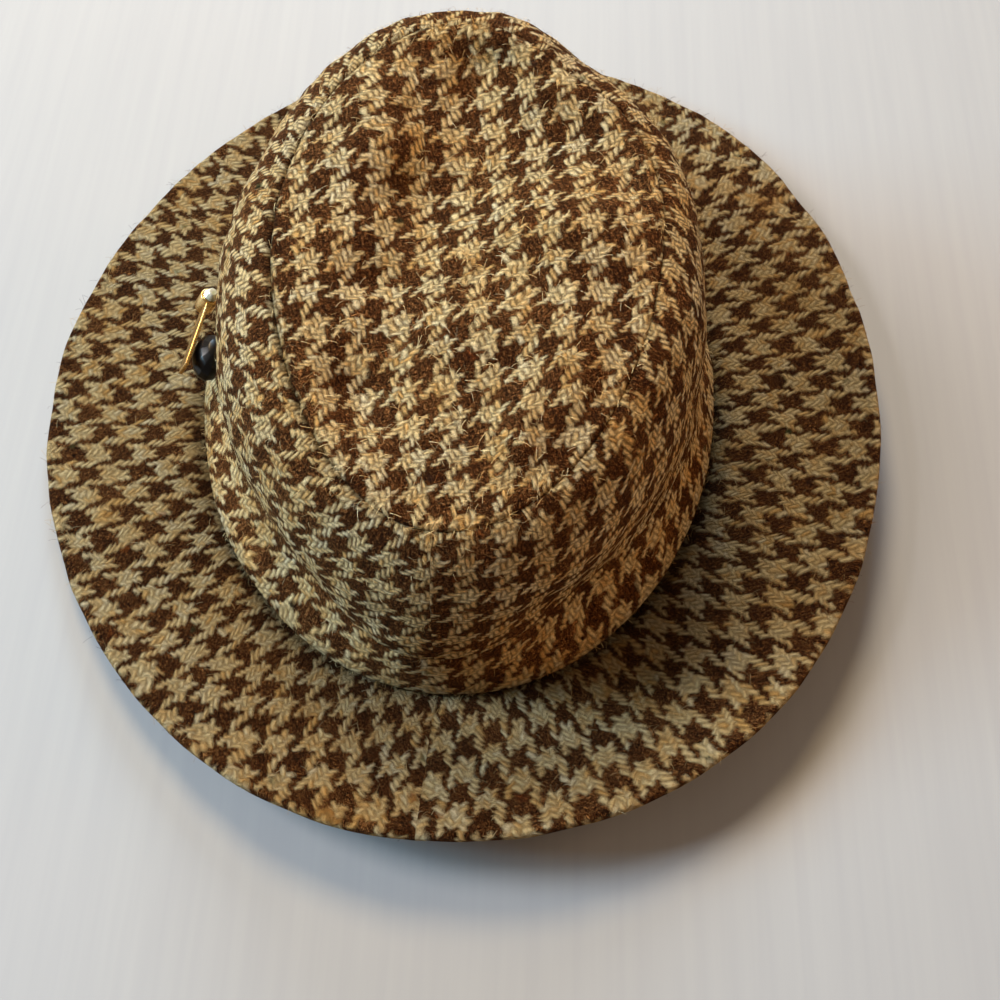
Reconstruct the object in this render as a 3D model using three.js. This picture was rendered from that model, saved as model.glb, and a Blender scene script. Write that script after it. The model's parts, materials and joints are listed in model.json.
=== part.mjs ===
// A sewn tweed hat with a pinched fedora crown, resting on its brim.
// Millimetres. +Z is up, +Y is the front of the hat, +X is the wearer's right.
// Every cloth piece is a shell: a smooth outer face, and an inner face one wall thickness behind it.

import * as THREE from 'three';

// ---------- driving dimensions ----------

const STATIONS = 72; // points round every ring of cloth
const CLOTH_WALL = 2.0; // one layer of tweed with its backing
const BAND_WALL = 1.6; // the folded band
const BRIM_WALL = 3.0; // two layers of tweed, stitched together
const BRIM_RINGS = 8;
const BRIM_STEP = 1 / (BRIM_RINGS - 1); // the share of the brim's rings between one and the next
const REST_DEPTH = 0.1; // cloth this close to the surface below lies flat on it
const BRIM_CURL = 1.25; // 1 is a straight slope out to the edge, more turns the edge up
const SEAM_GAP = 0.3; // clear space between pieces that are sewn together
const BAND_GAP = 0.5; // between the band and the crown

const BAND_FLARE = 1.6; // how far the band's lower edge stands off the crown
const BAND_HEIGHT = 20;
const BAND_CLEAR = 1.0; // the band's lower edge hangs this far above the crown's foot

// The brim, by direction: angle from the wearer's right towards the front, in degrees.
// foot: height of the upper face at the crown; rise: height gained out to the edge;
// reach: width of the brim along its slope.
const BRIM_DIRECTIONS = [
  { angle: 0, foot: 4.5, rise: 13.0, reach: 58.2 },
  { angle: 45, foot: 6.0, rise: 5.0, reach: 57.5 },
  { angle: 90, foot: 9.0, rise: -6.6, reach: 57.5 },
  { angle: 135, foot: 9.0, rise: -7.4, reach: 55.0 },
  { angle: 180, foot: 8.0, rise: -5.0, reach: 58.8 },
  { angle: 225, foot: 6.0, rise: 6.0, reach: 53.0 },
  { angle: 270, foot: 2.6, rise: 19.0, reach: 55.5 },
  { angle: 315, foot: 2.2, rise: 17.0, reach: 60.0 },
];

// The side of the crown, one row for each level from the foot to the top seam.
// right, front, left, back: how far the cloth lies from the hat's middle line;
// sideZ, frontZ, backZ: the level's height at the sides, the front and the back.
const CROWN_LEVELS = [
  { right: 82.5, front: 104, left: 84.0, back: 106, sideZ: 7, frontZ: 9, backZ: 3 },
  { right: 78.0, front: 102, left: 78.0, back: 107, sideZ: 20, frontZ: 22, backZ: 15 },
  { right: 76.0, front: 100, left: 74.0, back: 107.5, sideZ: 30, frontZ: 34, backZ: 27 },
  { right: 76.5, front: 97, left: 75.0, back: 107, sideZ: 46, frontZ: 54, backZ: 42 },
  { right: 75.5, front: 92, left: 73.5, back: 105.5, sideZ: 62, frontZ: 76, backZ: 56 },
  { right: 73.0, front: 85, left: 69.0, back: 103.5, sideZ: 77, frontZ: 92, backZ: 69 },
  { right: 68.5, front: 78, left: 62.0, back: 101, sideZ: 87, frontZ: 100, backZ: 77.5 },
  { right: 61.0, front: 70, left: 53.0, back: 96.5, sideZ: 92.5, frontZ: 103, backZ: 84 },
];
const SIDE_RINGS = 14;

// Where the soft crown is pressed in: a pinch in front, and two hollows behind, over the band.
// angle: direction; halfWidth: in degrees; level, spread: share of the crown's height; depth: share
// of the crown's radius.
const HOLLOWS = [
  { angle: 57, halfWidth: 15, level: 1.0, spread: 0.45, depth: 0.07 },
  { angle: 229, halfWidth: 24, level: 0.27, spread: 0.2, depth: 0.08 },
  { angle: 303, halfWidth: 24, level: 0.27, spread: 0.2, depth: 0.09 },
];

// The tip: a low dome with a teardrop dent pressed along it, wide behind and narrow in front.
const TIP_RINGS = 11;
const SEAM_SHARE = 0.009; // the seam's gap, as a share of the way from the seam to the tip's middle
const TIP_MIDDLE = { x: 4, y: -10 };
const DOME_HEIGHT = 96.5; // over the middle of the tip
const DOME_SLOPE = 0.085; // the top line climbs this much towards the front
// by station from back to front: middle of the dent, its width to each side, and its depth
const DENT_SECTIONS = [
  { y: -95, x: -4, left: 30, right: 40, depth: 0 },
  { y: -62, x: -8, left: 26, right: 42, depth: 3.5 },
  { y: -20, x: -7, left: 19, right: 44, depth: 7.5 },
  { y: 25, x: -7, left: 17, right: 36, depth: 9.5 },
  { y: 62, x: -5, left: 17, right: 19, depth: 11.0 },
  { y: 95, x: -3, left: 18, right: 17, depth: 9.0 },
];

// The ornament pinned to the band on the wearer's left. Its own frame lies on the band: X points out
// of the hat, Y along the band to the back, Z up.
const PIN_ANGLE = 184; // where it sits, from the wearer's right towards the front, in degrees
const PIN_UP = 0.75; // share of the band's height
const PIN_GAP = 0.6; // between the band and the stone, for the band bends away below
const STONE = { deep: 10.5, long: 16.5, tall: 14, front: 3 }; // front: how far its middle lies before the pin's
// back, front: its ends along Y; turn: degrees off the band; stand: its gap to the stone
const BAR = { thick: 1.3, tall: 7, back: 4, front: -25.5, turn: -11, stand: 1.3 };
const SETTING_RADIUS = 3.2;
const CRYSTAL = { radius: 2.7, height: 2.6, sides: 10 };

// moves the hat so that the origin lies under the middle of its box
const HAT_SHIFT = new THREE.Vector3(1.27, -0.87, 0);

const COLOURS = {
  tweed: { color: 0x84643f, roughness: 0.95, metalness: 0 },
  brass: { color: 0xc79a45, roughness: 0.3, metalness: 1 },
  jet: { color: 0x0b0b0c, roughness: 0.15, metalness: 0 },
  crystal: { color: 0xdfe6cf, roughness: 0.1, metalness: 0 },
};

// ---------- smooth interpolation ----------

/** A smooth curve through four values that lie one step apart, between the middle two. */
function throughFour(before, from, to, after, t) {
  const bend = 2 * before - 5 * from + 4 * to - after;
  const twist = 3 * (from - to) + after - before;
  return from + 0.5 * t * (to - before + t * (bend + t * twist));
}

/** Reads a column of a table whose rows go once round the hat. */
function roundTable(rows, column, theta) {
  const place = ((theta / (2 * Math.PI)) % 1) * rows.length;
  const row = Math.floor(place);
  const at = (step) => rows[(row + step + rows.length) % rows.length][column];
  return throughFour(at(-1), at(0), at(1), at(2), place - row);
}

/** Reads a column of a table whose rows go from one end (0) to the other (1). */
function alongTable(rows, column, share) {
  const last = rows.length - 1;
  const place = Math.min(Math.max(share, 0), 1) * last;
  const row = Math.min(Math.floor(place), last - 1);
  const at = (index) => {
    if (index < 0) return 2 * rows[0][column] - rows[1][column];
    if (index > last) return 2 * rows[last][column] - rows[last - 1][column];
    return rows[index][column];
  };
  return throughFour(at(row - 1), at(row), at(row + 1), at(row + 2), place - row);
}

/** Share of the way along a table at which its y column reaches y. */
function shareAtY(rows, y) {
  const last = rows.length - 1;
  if (y <= rows[0].y) return 0;
  if (y >= rows[last].y) return 1;
  const row = rows.findIndex((entry, index) => index < last && y < rows[index + 1].y);
  return (row + (y - rows[row].y) / (rows[row + 1].y - rows[row].y)) / last;
}

// ---------- the crown's outer face ----------

/** How far the crown is pressed in, as a share of its radius. */
function pressedIn(theta, level) {
  const degrees = THREE.MathUtils.radToDeg(theta);
  return HOLLOWS.reduce((sum, hollow) => {
    const across = (THREE.MathUtils.euclideanModulo(degrees - hollow.angle + 180, 360) - 180)
      / hollow.halfWidth;
    const along = (level - hollow.level) / hollow.spread;
    return sum + hollow.depth * Math.exp(-across * across - along * along);
  }, 0);
}

/** The brim's upper face at the crown, which lies on the surface where the hat rests. */
function footHeight(theta) {
  return Math.max(roundTable(BRIM_DIRECTIONS, 'foot', theta), BRIM_WALL);
}

/** A point on the crown's side: theta round the head, level from 0 (foot) to 1 (top seam). */
function crownSide(theta, level) {
  const read = (column) => alongTable(CROWN_LEVELS, column, level);
  const c = Math.cos(theta);
  const s = Math.sin(theta);
  const inward = 1 - pressedIn(theta, level) * THREE.MathUtils.smoothstep(level, 0, 0.15);
  const x = read(c > 0 ? 'right' : 'left') * c * inward;
  const y = read(s > 0 ? 'front' : 'back') * s * inward;
  const endZ = read(s > 0 ? 'frontZ' : 'backZ');
  const sideZ = read('sideZ');
  // the foot follows the brim, and the levels above follow their own heights
  const footShare = THREE.MathUtils.smoothstep(level, 0, 0.25);
  const brimZ = footHeight(theta) + SEAM_GAP;
  const ownZ = sideZ * c * c + endZ * s * s;
  return new THREE.Vector3(x, y, THREE.MathUtils.lerp(brimZ + read('sideZ') - CROWN_LEVELS[0].sideZ,
    ownZ, footShare));
}

/** How deep the teardrop dent is at a place on the tip. */
function dentDepth(x, y) {
  const share = shareAtY(DENT_SECTIONS, y);
  const read = (column) => alongTable(DENT_SECTIONS, column, share);
  const side = x - read('x');
  const offset = Math.abs(side) / read(side < 0 ? 'left' : 'right');
  return read('depth') * Math.exp(-Math.pow(offset, 2.2));
}

/** A point on the crown's tip: theta round it, share from 0 (top seam) to 1 (middle). */
function crownTip(theta, share) {
  const rim = crownSide(theta, 1);
  const spread = 1 - share;
  const x = THREE.MathUtils.lerp(TIP_MIDDLE.x, rim.x, spread);
  const y = THREE.MathUtils.lerp(TIP_MIDDLE.y, rim.y, spread);
  const dome = DOME_HEIGHT + DOME_SLOPE * y;
  const z = THREE.MathUtils.lerp(dome, rim.z, spread ** 2.4);
  const fade = THREE.MathUtils.smoothstep(share, 0, 0.35);
  return new THREE.Vector3(x, y, z - dentDepth(x, y) * fade);
}

// ---------- the brim and the band ----------

/** The crown's foot, moved straight out by a distance. */
function footOutline(theta, outward) {
  const point = crownSide(theta, 0);
  const step = 0.01;
  const ahead = crownSide(theta + step, 0);
  const behind = crownSide(theta - step, 0);
  const along = ahead.sub(behind).setZ(0).normalize();
  return new THREE.Vector3(point.x + along.y * outward, point.y - along.x * outward, point.z);
}

/**
 * A point on the brim's upper face. out is 0 at the inner edge, 1 at the outer edge, and BRIM_STEP at
 * the crown's outer face: the first step lies flat under the crown's wall.
 */
function brimTop(theta, out) {
  const rise = roundTable(BRIM_DIRECTIONS, 'rise', theta);
  const reach = roundTable(BRIM_DIRECTIONS, 'reach', theta);
  const share = Math.max((out - BRIM_STEP) / (1 - BRIM_STEP), 0);
  const under = Math.min(out / BRIM_STEP - 1, 0) * CLOTH_WALL;
  const point = footOutline(theta, under + share * Math.sqrt(reach * reach - rise * rise));
  point.z = Math.max(footHeight(theta) + rise * share ** BRIM_CURL, BRIM_WALL);
  return point;
}

/** A point on the band's outer face: up is 0 at its lower edge and 1 at its upper edge. */
function bandFace(theta, up) {
  const height = BAND_CLEAR + up * BAND_HEIGHT;
  const level = bandLevel(height);
  const wall = crownSide(theta, level);
  const normal = outwardNormal(crownSide, theta, level);
  const flare = BAND_FLARE * (1 - up) ** 2;
  return wall.addScaledVector(normal, BAND_GAP + BAND_WALL + flare);
}

/** The crown level that lies a height above the foot, at the hat's side. */
function bandLevel(height) {
  let level = 0;
  const foot = CROWN_LEVELS[0].sideZ;
  while (alongTable(CROWN_LEVELS, 'sideZ', level) - foot < height) level += 0.002;
  return level;
}

// ---------- shells ----------

/** The direction that points out of a face, from the slopes along and across it. */
function outwardNormal(face, theta, across) {
  const step = 0.004;
  const low = Math.max(across - step, 0);
  const high = Math.min(across + step, 1);
  const round = face(theta + step, across).sub(face(theta - step, across));
  const up = face(theta, high).sub(face(theta, low));
  return round.cross(up).normalize();
}

/** The direction in which the side and the tip both lie behind their seam. */
function seamNormal(theta) {
  const side = outwardNormal(crownSide, theta, 1);
  return side.add(outwardNormal(crownTip, theta, 0)).normalize();
}

/**
 * A closed wall behind a face that runs round the hat. A capped face ends in a point. mitre says which
 * end meets the crown's top seam, flatFoot gives the first edge one height, and rests lays
 * the inner face flat on the surface where it comes close to it.
 */
function shell({ face, rings, wall, from = 0, to = 1, capped = false, mitre = -1, flatFoot = false,
  rests = false }) {
  const positions = [];
  const indices = [];
  const put = (point) => positions.push(point.x, point.y, point.z) / 3 - 1;
  const outer = [];
  const inner = [];
  const ringCount = capped ? rings - 1 : rings;
  for (let ring = 0; ring < ringCount; ring += 1) {
    const across = THREE.MathUtils.lerp(from, to, ring / (rings - 1));
    outer.push([]);
    inner.push([]);
    for (let station = 0; station < STATIONS; station += 1) {
      const theta = (2 * Math.PI * station) / STATIONS;
      const point = face(theta, across);
      const normal = across === mitre ? seamNormal(theta) : outwardNormal(face, theta, across);
      const back = point.clone().addScaledVector(normal, -wall);
      if (flatFoot && ring === 0) back.z = point.z;
      if (rests && point.z - wall < REST_DEPTH) back.z = 0;
      outer[ring].push(put(point));
      inner[ring].push(put(back));
    }
  }
  const quad = (a, b, c, d) => indices.push(a, b, c, a, c, d);
  const strip = (first, second) => {
    for (let station = 0; station < STATIONS; station += 1) {
      const next = (station + 1) % STATIONS;
      quad(first[station], first[next], second[next], second[station]);
    }
  };
  for (let ring = 0; ring < ringCount - 1; ring += 1) {
    strip(outer[ring], outer[ring + 1]);
    strip(inner[ring + 1], inner[ring]);
  }
  strip(inner[0], outer[0]);
  if (capped) {
    const peak = face(0, to);
    const top = put(peak);
    const under = put(peak.clone().setZ(peak.z - wall));
    for (let station = 0; station < STATIONS; station += 1) {
      const next = (station + 1) % STATIONS;
      indices.push(outer[ringCount - 1][station], outer[ringCount - 1][next], top);
      indices.push(inner[ringCount - 1][next], inner[ringCount - 1][station], under);
    }
  } else {
    strip(outer[ringCount - 1], inner[ringCount - 1]);
  }
  const geometry = new THREE.BufferGeometry();
  geometry.setAttribute('position', new THREE.Float32BufferAttribute(positions, 3));
  geometry.setIndex(indices);
  geometry.computeVertexNormals();
  return geometry;
}

// ---------- the ornament ----------

/** A cut black stone: long and low, with flat facets. */
function stoneGeometry() {
  const geometry = new THREE.IcosahedronGeometry(0.5, 1);
  geometry.scale(STONE.deep, STONE.long, STONE.tall);
  return geometry;
}

/** The gold bar with the round setting at its front end, standing on edge. */
function barGeometry() {
  const half = BAR.thick / 2;
  const meet = Math.asin(half / SETTING_RADIUS);
  const outline = new THREE.Shape();
  outline.moveTo(half, BAR.back);
  outline.absarc(0, BAR.front, SETTING_RADIUS, Math.PI / 2 - meet, meet - 1.5 * Math.PI, true);
  outline.lineTo(-half, BAR.back);
  outline.closePath();
  const settings = { depth: BAR.tall, bevelEnabled: false, curveSegments: 20 };
  return new THREE.ExtrudeGeometry(outline, settings);
}

/** A small pale stone, cut round, wide below and narrow at its flat top. */
function crystalGeometry() {
  const { radius, height, sides } = CRYSTAL;
  const profile = [
    new THREE.Vector2(0, 0),
    new THREE.Vector2(radius * 0.75, 0),
    new THREE.Vector2(radius, height * 0.35),
    new THREE.Vector2(radius * 0.55, height),
    new THREE.Vector2(0, height),
  ];
  const geometry = new THREE.LatheGeometry(profile, sides);
  geometry.rotateX(Math.PI / 2);
  return geometry;
}

// ---------- assembly ----------

const hat = new THREE.Group();

function addPiece(name, geometry, finish, group = hat) {
  const mesh = new THREE.Mesh(geometry, new THREE.MeshStandardMaterial(COLOURS[finish]));
  mesh.name = name;
  group.add(mesh);
  return mesh;
}

addPiece('brim', shell({ face: (theta, inward) => brimTop(theta, 1 - inward), rings: BRIM_RINGS,
  wall: BRIM_WALL, rests: true }), 'tweed');
addPiece('crown_side', shell({ face: crownSide, rings: SIDE_RINGS, wall: CLOTH_WALL, mitre: 1,
  flatFoot: true }), 'tweed');
addPiece('hat_band', shell({ face: bandFace, rings: 4, wall: BAND_WALL, flatFoot: true }), 'tweed');
addPiece('crown_tip', shell({ face: crownTip, rings: TIP_RINGS, wall: CLOTH_WALL, from: SEAM_SHARE,
  mitre: SEAM_SHARE, capped: true }), 'tweed');

const pinTheta = THREE.MathUtils.degToRad(PIN_ANGLE);
const pinOutward = outwardNormal(bandFace, pinTheta, PIN_UP);
const pinBackward = new THREE.Vector3(0, 0, 1).cross(pinOutward).normalize();
const pinUpward = pinOutward.clone().cross(pinBackward);
const pin = new THREE.Group();
pin.applyMatrix4(new THREE.Matrix4().makeBasis(pinOutward, pinBackward, pinUpward));
pin.position.copy(bandFace(pinTheta, PIN_UP));
hat.add(pin);

const stone = addPiece('pin_stone', stoneGeometry(), 'jet', pin);
stone.position.set(PIN_GAP + STONE.deep / 2, -STONE.front, 0);

const bar = new THREE.Group();
bar.position.x = PIN_GAP + STONE.deep + BAR.stand + BAR.thick / 2;
bar.rotation.z = THREE.MathUtils.degToRad(BAR.turn);
pin.add(bar);
const plate = addPiece('pin_bar', barGeometry(), 'brass', bar);
plate.position.z = -BAR.tall / 2;
const crystal = addPiece('pin_crystal', crystalGeometry(), 'crystal', bar);
crystal.position.set(0, BAR.front, BAR.tall / 2 + SEAM_GAP);

hat.position.copy(HAT_SHIFT);

export default hat;
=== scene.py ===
"""A soft fedora sewn from houndstooth tweed, with a stone and a clasp pinned to its band.

Lengths in the tables are millimetres. +Z is up, +Y is the front of the hat and +X the wearer's
right. The cloth pieces repeat the tables that the hat's solids are made from, with the small folds,
seams and rolled edges that cloth adds to them.
"""

import json
import math
import random

import bpy
from mathutils import Matrix, Vector, noise

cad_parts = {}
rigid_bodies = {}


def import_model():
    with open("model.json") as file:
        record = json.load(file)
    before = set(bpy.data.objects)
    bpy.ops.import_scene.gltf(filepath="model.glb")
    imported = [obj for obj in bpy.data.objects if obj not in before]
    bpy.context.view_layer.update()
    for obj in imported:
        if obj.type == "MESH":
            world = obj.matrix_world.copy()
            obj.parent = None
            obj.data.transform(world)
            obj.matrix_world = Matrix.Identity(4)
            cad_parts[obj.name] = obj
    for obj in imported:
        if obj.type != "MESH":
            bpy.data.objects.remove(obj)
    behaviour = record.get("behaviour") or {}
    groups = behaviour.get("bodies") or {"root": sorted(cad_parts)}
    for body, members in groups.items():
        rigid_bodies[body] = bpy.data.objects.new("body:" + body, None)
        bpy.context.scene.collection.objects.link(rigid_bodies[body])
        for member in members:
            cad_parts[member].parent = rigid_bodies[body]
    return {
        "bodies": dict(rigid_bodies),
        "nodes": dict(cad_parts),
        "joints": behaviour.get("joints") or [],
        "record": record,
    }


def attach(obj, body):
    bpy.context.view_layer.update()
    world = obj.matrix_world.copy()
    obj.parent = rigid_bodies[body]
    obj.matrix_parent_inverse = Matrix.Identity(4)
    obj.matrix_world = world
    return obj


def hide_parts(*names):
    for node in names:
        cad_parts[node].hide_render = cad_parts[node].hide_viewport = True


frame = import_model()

MM = 0.001
TURN = 2 * math.pi

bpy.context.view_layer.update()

# ---------- camera ----------

CAMERA_PLACE = Vector((22.97, -244.97, 384.1)) * MM
CAMERA_LOOK = Vector((-0.0172, 0.4692, -0.8829))
CAMERA_LENS = 46.8
CAMERA_SENSOR = 36
CAMERA_NEAR = 0.01


def set_camera():
    bpy.ops.object.camera_add(location=CAMERA_PLACE)
    camera = bpy.context.object
    camera.rotation_euler = CAMERA_LOOK.to_track_quat("-Z", "Y").to_euler()
    camera.data.lens = CAMERA_LENS
    camera.data.sensor_width = CAMERA_SENSOR
    camera.data.clip_start = CAMERA_NEAR
    bpy.context.scene.camera = camera


# ---------- sizes shared with the solids ----------

HAT_SHIFT = Vector((1.27, -0.87, 0))  # brings the middle of the hat over the origin

CLOTH_WALL = 2.0  # one layer of tweed with its backing
BAND_WALL = 1.6  # the folded band
BRIM_WALL = 3.0  # two layers of tweed, stitched together
BRIM_CURL = 1.25  # 1 is a straight slope out to the edge, more turns the edge up
BRIM_EASE = 0.7  # the brim settles on the surface below over this height
SEAM_GAP = 0.3  # clear space between pieces that are sewn together
BAND_GAP = 0.5  # between the band and the crown
BAND_FLARE = 1.6  # how far the band's lower edge stands off the crown
BAND_HEIGHT = 20.0
BAND_CLEAR = 1.0  # the band's lower edge hangs this far above the crown's foot

# angle, height of the upper face at the crown, height gained to the edge, width along the slope
BRIM_DIRECTIONS = [
    {"angle": 0, "foot": 4.5, "rise": 13.0, "reach": 58.2},
    {"angle": 45, "foot": 6.0, "rise": 5.0, "reach": 57.5},
    {"angle": 90, "foot": 9.0, "rise": -6.6, "reach": 57.5},
    {"angle": 135, "foot": 9.0, "rise": -7.4, "reach": 55.0},
    {"angle": 180, "foot": 8.0, "rise": -5.0, "reach": 58.8},
    {"angle": 225, "foot": 6.0, "rise": 6.0, "reach": 53.0},
    {"angle": 270, "foot": 2.6, "rise": 19.0, "reach": 55.5},
    {"angle": 315, "foot": 2.2, "rise": 17.0, "reach": 60.0},
]

# how far each level of the crown lies from the middle line, and its height there
CROWN_LEVELS = [
    {"right": 82.5, "front": 104, "left": 84.0, "back": 106, "side_z": 7, "front_z": 9, "back_z": 3},
    {"right": 78.0, "front": 102, "left": 78.0, "back": 107, "side_z": 20, "front_z": 22, "back_z": 15},
    {"right": 76.0, "front": 100, "left": 74.0, "back": 107.5, "side_z": 30, "front_z": 34, "back_z": 27},
    {"right": 76.5, "front": 97, "left": 75.0, "back": 107, "side_z": 46, "front_z": 54, "back_z": 42},
    {"right": 75.5, "front": 92, "left": 73.5, "back": 105.5, "side_z": 62, "front_z": 76, "back_z": 56},
    {"right": 73.0, "front": 85, "left": 69.0, "back": 103.5, "side_z": 77, "front_z": 92, "back_z": 69},
    {"right": 68.5, "front": 78, "left": 62.0, "back": 101, "side_z": 87, "front_z": 100, "back_z": 77.5},
    {"right": 61.0, "front": 70, "left": 53.0, "back": 96.5, "side_z": 92.5, "front_z": 103, "back_z": 84},
]

# a pinch at the right of the front, and two hollows behind, over the band
HOLLOWS = [
    {"angle": 57, "half_width": 15, "level": 1.0, "spread": 0.45, "depth": 0.07},
    {"angle": 229, "half_width": 24, "level": 0.27, "spread": 0.2, "depth": 0.08},
    {"angle": 303, "half_width": 24, "level": 0.27, "spread": 0.2, "depth": 0.09},
]

HOLLOWS_FROM = 0.15  # below this level the hollows fade out
FOOT_TO = 0.25  # up to this level the crown's height follows its foot on the brim

TIP_MIDDLE = (4.0, -10.0)
DOME_HEIGHT = 96.5  # over the middle of the tip
DOME_SLOPE = 0.085  # the top line climbs this much towards the front
DOME_FALL = 2.4  # the higher, the flatter the dome and the steeper its edge
DENT_FROM = 0.35  # the dent fades out between here and the seam
DENT_SIDES = 2.2  # the higher, the steeper its sides

# the centre dent at places along the tip: its middle, its reach to each side, and its depth
DENT_SECTIONS = [
    {"y": -95, "x": -4, "left": 30, "right": 40, "depth": 0},
    {"y": -62, "x": -8, "left": 26, "right": 42, "depth": 3.5},
    {"y": -20, "x": -7, "left": 19, "right": 44, "depth": 7.5},
    {"y": 25, "x": -7, "left": 17, "right": 36, "depth": 9.5},
    {"y": 62, "x": -5, "left": 17, "right": 19, "depth": 11.0},
    {"y": 95, "x": -3, "left": 18, "right": 17, "depth": 9.0},
]

# slow lumps in each piece of cloth: their height, their size, and what sets one pattern off another
PUCKERS = [{"high": 0.5, "size": 6.5, "seed": 17}]
SIDE_LUMPS = [{"high": 1.0, "size": 26, "seed": 3}, {"high": 0.45, "size": 11, "seed": 8}]
TIP_LUMPS = [{"high": 0.5, "size": 22, "seed": 5}, {"high": 0.4, "size": 10, "seed": 2}]
BRIM_LUMPS = [{"high": 0.9, "size": 34, "seed": 4}, {"high": 0.35, "size": 12, "seed": 6}]
BRIM_EDGE_LUMPS = [{"high": 0.6, "size": 15, "seed": 14}]
BAND_LUMPS = [{"high": 0.5, "size": 16, "seed": 9}]
BAG_LUMPS = [{"high": 1.1, "size": 30, "seed": 12}]

# folds that handling has left in the tip: the middle of each, half its size each way, its height
TIP_FOLDS = [
    {"x": 14, "y": 62, "wide": 22, "long": 12, "high": -5.5},
    {"x": 35, "y": -47, "wide": 11, "long": 22, "high": 4.7},
    {"x": -24, "y": -53, "wide": 12, "long": 12, "high": -4.6},
    {"x": -23, "y": 30, "wide": 19, "long": 19, "high": 4.6},
    {"x": 22, "y": -66, "wide": 6, "long": 13, "high": 3.9},
    {"x": 43, "y": -5, "wide": 22, "long": 12, "high": 3.8},
    {"x": 52, "y": 19, "wide": 6, "long": 13, "high": -3.8},
    {"x": -36, "y": 32, "wide": 7, "long": 7, "high": -3.7},
    {"x": 23, "y": -15, "wide": 19, "long": 19, "high": 3.6},
    {"x": 33, "y": 34, "wide": 22, "long": 12, "high": -3.5},
    {"x": -5, "y": 14, "wide": 22, "long": 12, "high": -3.4},
    {"x": 24, "y": 5, "wide": 22, "long": 12, "high": 3.2},
    {"x": 14, "y": -34, "wide": 12, "long": 12, "high": 3.2},
    {"x": 0, "y": -30, "wide": 11, "long": 22, "high": 2.8},
    {"x": -25, "y": -18, "wide": 13, "long": 7, "high": -2.8},
    {"x": -8, "y": 49, "wide": 6, "long": 13, "high": 2.8},
]

# the weave: a two-and-two twill with four light yarns and four dark ones in each check
CHECK = (11.7, 10.7)  # across its warp and across its weft
BRIM_SEAM = math.radians(268)
BAND_SEAM = math.radians(184)

# how finely each cloth piece is made: rows over its face and behind it, the length of its section,
# the points round it, and the loose hairs on it
FINENESS = {
    "crown_side": {"rows": 96, "behind": 24, "length": 100, "round": 400, "hairs": 6000},
    "crown_tip": {"rows": 70, "behind": 24, "length": 75, "round": 300, "hairs": 5000},
    "brim": {"rows": 56, "behind": 24, "length": 58.5, "round": 480, "hairs": 8000},
    "hat_band": {"rows": 18, "behind": 8, "length": BAND_HEIGHT, "round": 400, "hairs": 2000},
}


# ---------- smooth tables ----------

def through_four(before, start, end, after, t):
    bend = 2 * before - 5 * start + 4 * end - after
    twist = 3 * (start - end) + after - before
    return start + 0.5 * t * (end - before + t * (bend + t * twist))


def round_table(rows, column, theta):
    place = (theta / TURN) % 1 * len(rows)
    row = math.floor(place)
    four = [rows[(row + step) % len(rows)][column] for step in (-1, 0, 1, 2)]
    return through_four(*four, place - row)


def along_table(rows, column, share):
    last = len(rows) - 1
    place = min(max(share, 0), 1) * last
    row = min(math.floor(place), last - 1)

    def at(index):
        if index < 0:
            return 2 * rows[0][column] - rows[1][column]
        if index > last:
            return 2 * rows[last][column] - rows[last - 1][column]
        return rows[index][column]

    return through_four(at(row - 1), at(row), at(row + 1), at(row + 2), place - row)


def share_at_y(rows, y):
    last = len(rows) - 1
    if y <= rows[0]["y"]:
        return 0
    for row in range(last):
        if y < rows[row + 1]["y"]:
            return (row + (y - rows[row]["y"]) / (rows[row + 1]["y"] - rows[row]["y"])) / last
    return 1


def smoothstep(value, low, high):
    t = min(max((value - low) / (high - low), 0), 1)
    return t * t * (3 - 2 * t)


def mix(a, b, t):
    return a + (b - a) * t


# ---------- faces of the hat, in millimetres ----------

def pressed_in(theta, level):
    total = 0
    for hollow in HOLLOWS:
        across = ((math.degrees(theta) - hollow["angle"] + 180) % 360 - 180) / hollow["half_width"]
        along = (level - hollow["level"]) / hollow["spread"]
        total += hollow["depth"] * math.exp(-across * across - along * along)
    return total


def foot_height(theta):
    return max(round_table(BRIM_DIRECTIONS, "foot", theta), BRIM_WALL)


def crown_side(theta, level):
    c, s = math.cos(theta), math.sin(theta)
    inward = 1 - pressed_in(theta, level) * smoothstep(level, 0, HOLLOWS_FROM)
    x = along_table(CROWN_LEVELS, "right" if c > 0 else "left", level) * c * inward
    y = along_table(CROWN_LEVELS, "front" if s > 0 else "back", level) * s * inward
    end_z = along_table(CROWN_LEVELS, "front_z" if s > 0 else "back_z", level)
    side_z = along_table(CROWN_LEVELS, "side_z", level)
    foot_z = foot_height(theta) + SEAM_GAP + side_z - CROWN_LEVELS[0]["side_z"]
    own_z = side_z * c * c + end_z * s * s
    return Vector((x, y, mix(foot_z, own_z, smoothstep(level, 0, FOOT_TO))))


def dent_depth(x, y):
    share = share_at_y(DENT_SECTIONS, y)
    side = x - along_table(DENT_SECTIONS, "x", share)
    offset = abs(side) / along_table(DENT_SECTIONS, "left" if side < 0 else "right", share)
    return along_table(DENT_SECTIONS, "depth", share) * math.exp(-(offset ** DENT_SIDES))


def crown_tip(theta, share):
    rim = crown_side(theta, 1)
    spread = 1 - share
    x = mix(TIP_MIDDLE[0], rim.x, spread)
    y = mix(TIP_MIDDLE[1], rim.y, spread)
    z = mix(DOME_HEIGHT + DOME_SLOPE * y, rim.z, spread ** DOME_FALL)
    return Vector((x, y, z - dent_depth(x, y) * smoothstep(share, 0, DENT_FROM)))


ASIDE = 0.01  # radians to each side, where a direction is read off a curve
NUDGE = 0.004  # the same, of an angle or a share, where a normal is read off a face


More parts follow.
